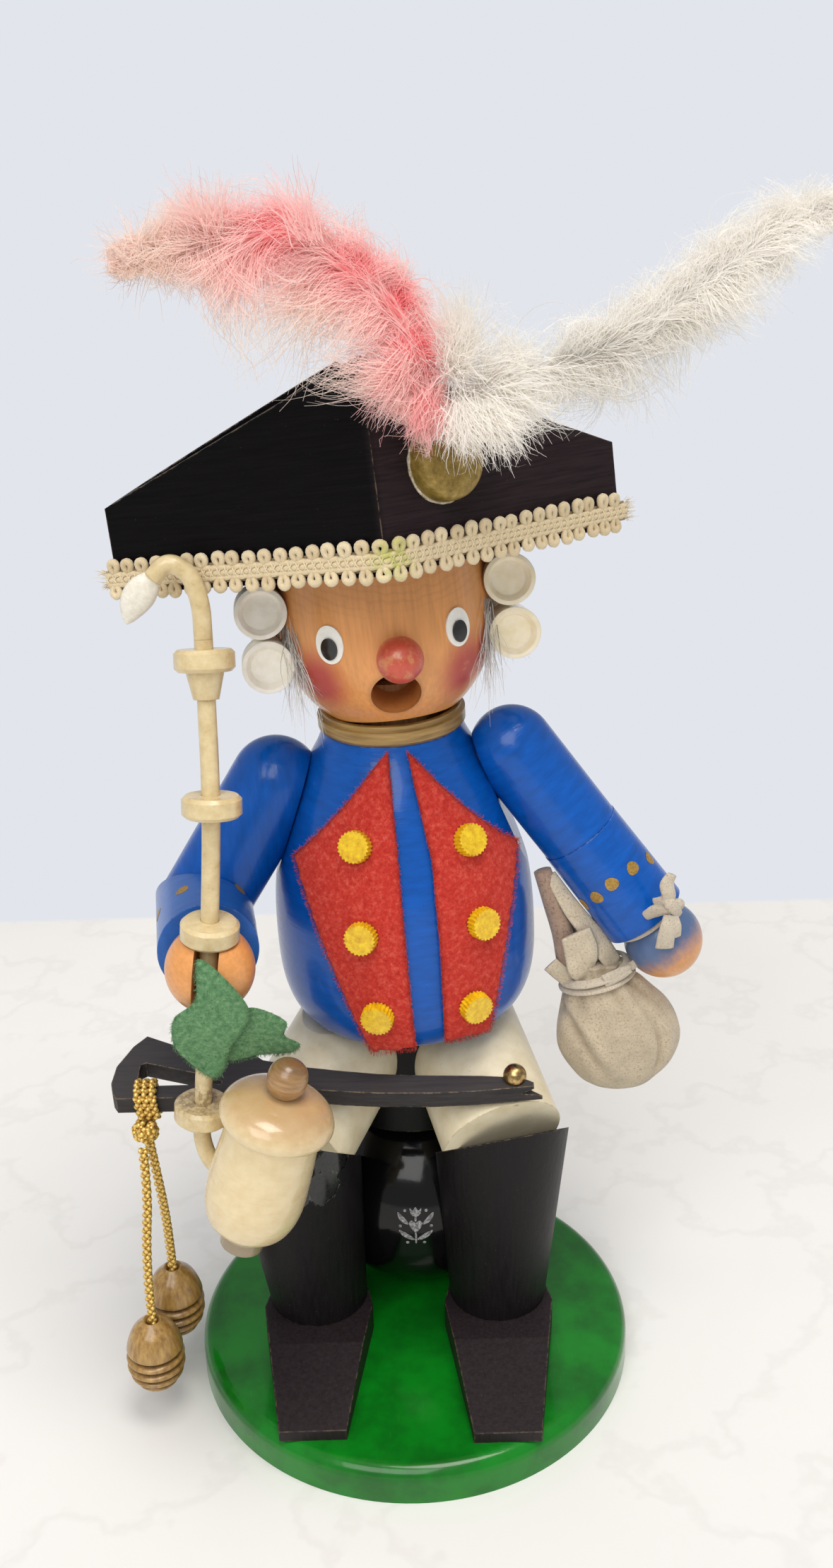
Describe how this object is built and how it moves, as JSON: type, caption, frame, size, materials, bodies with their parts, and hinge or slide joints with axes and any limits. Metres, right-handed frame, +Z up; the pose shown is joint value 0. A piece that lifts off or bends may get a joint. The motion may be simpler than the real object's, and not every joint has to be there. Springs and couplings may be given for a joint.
{
  "type": "incense smoker",
  "caption": "Seated turned-wood incense smoker with a three-cornered hat, long pipe, purse and lap sabre; the coat lifts off to reach the incense dish and smoke leaves by the mouth.",
  "frame": {"origin": "centre of the underside of the round base", "axes": "+Z up, the figure faces -Y, its right side is at -X"},
  "size_m": [0.1677, 0.115, 0.2983],
  "materials": {
    "base_green": "glossy green paint over wood",
    "seat_black": "glossy black lacquer over wood",
    "plain_wood": "bare turned wood",
    "dish_brass": "pressed brass",
    "sabre_grey": "matt charcoal paint over wood",
    "nail_brass": "domed brass head",
    "shoe_black": "worn satin black paint over wood",
    "boot_black": "worn satin black paint over wood",
    "thigh_cream": "satin cream paint over wood",
    "coat_blue": "glossy blue paint with turning marks over wood",
    "felt_red": "red felt",
    "button_yellow": "glossy yellow paint over wood",
    "collar_wood": "stained turned wood",
    "head_wood": "stained and varnished wood",
    "nose_red": "red stained wood",
    "eye_white": "white paint over wood",
    "eye_black": "black paint over wood",
    "right_curl_white": "matt whitish paint over wood",
    "left_curl_cream": "glossy cream paint over wood",
    "fur_grey": "grey fur",
    "hat_black": "satin black paint over wood",
    "braid_cream": "woven gimp braid",
    "cockade_gold": "worn gold paint over wood",
    "feather_pink": "dyed down feather",
    "feather_white": "down feather",
    "cuff_blue": "glossy blue paint over wood",
    "hand_wood": "stained turned wood",
    "pipe_cream": "glossy cream lacquer over wood",
    "mouthpiece_white": "whitish paint over wood",
    "bowl_cream": "glossy cream lacquer over wood",
    "knob_tan": "polished turned wood",
    "felt_green": "green felt",
    "cord_gold": "twisted gold cord",
    "bead_wood": "varnished turned wood",
    "pouch_leather": "soft grey-beige leather",
    "thong_leather": "pale leather lace"
  },
  "bodies": {
    "lower_body": {"base_disc": "base_green", "seat_ball": "seat_black", "hip_block": "plain_wood", "incense_plate": "dish_brass", "right_shoe": "shoe_black", "left_shoe": "shoe_black", "right_boot": "boot_black", "left_boot": "boot_black", "right_thigh": "thigh_cream", "left_thigh": "thigh_cream", "sabre": "sabre_grey", "sabre_nail": "nail_brass", "sword_knot": "cord_gold", "lower_dowels": "plain_wood"},
    "upper_body": {"coat_torso": "coat_blue", "right_lapel": "felt_red", "left_lapel": "felt_red", "right_buttons": "button_yellow", "left_buttons": "button_yellow", "collar": "collar_wood", "neck_tube": "plain_wood", "head": "head_wood", "nose": "nose_red", "eye_whites": "eye_white", "eye_pupils": "eye_black", "right_upper_curl": "right_curl_white", "right_lower_curl": "right_curl_white", "left_upper_curl": "left_curl_cream", "left_lower_curl": "left_curl_cream", "fur_wig": "fur_grey", "hat": "hat_black", "hat_trim": "braid_cream", "cockade": "cockade_gold", "pink_feather": "feather_pink", "white_feather": "feather_white", "right_upper_arm": "coat_blue", "right_forearm": "cuff_blue", "right_hand": "hand_wood", "left_upper_arm": "coat_blue", "left_forearm": "cuff_blue", "left_hand": "hand_wood", "wrist_thong": "thong_leather", "arm_dowels": "plain_wood"},
    "pipe": {"pipe_stem": "pipe_cream", "pipe_rings": "pipe_cream", "pipe_bend": "pipe_cream", "pipe_mouthpiece": "mouthpiece_white", "pipe_bowl": "bowl_cream", "bowl_lid": "bowl_cream", "lid_knob": "knob_tan", "pipe_elbow": "pipe_cream", "large_leaf": "felt_green", "small_leaf": "felt_green"},
    "pouch": {"money_pouch": "pouch_leather", "pouch_tie": "pouch_leather"},
    "front_tassel": {"front_tassel_cord": "cord_gold", "front_bead": "bead_wood"},
    "rear_tassel": {"rear_tassel_cord": "cord_gold", "rear_bead": "bead_wood"}
  },
  "joints": [
    {"name": "torso_lift", "type": "slide", "parent": "lower_body", "child": "upper_body", "axis": [-0.0332, 0, 0.9995], "range_m": [0, 0.045]},
    {"name": "pipe_pull", "type": "slide", "parent": "upper_body", "child": "pipe", "axis": [0, -1, 0], "range_m": [0, 0.025]},
    {"name": "pouch_swing", "type": "hinge", "parent": "upper_body", "child": "pouch", "pos_m": [0.0545, 0.0059, 0.119], "axis": [1, 0, 0], "range_deg": [-15, 15]},
    {"name": "front_tassel_swing", "type": "hinge", "parent": "lower_body", "child": "front_tassel", "pos_m": [-0.06347, -0.02166, 0.08524], "axis": [1, 0, 0], "range_deg": [-35, 0]},
    {"name": "rear_tassel_swing", "type": "hinge", "parent": "lower_body", "child": "rear_tassel", "pos_m": [-0.06347, -0.02166, 0.08524], "axis": [1, 0, 0], "range_deg": [0, 35]}
  ]
}
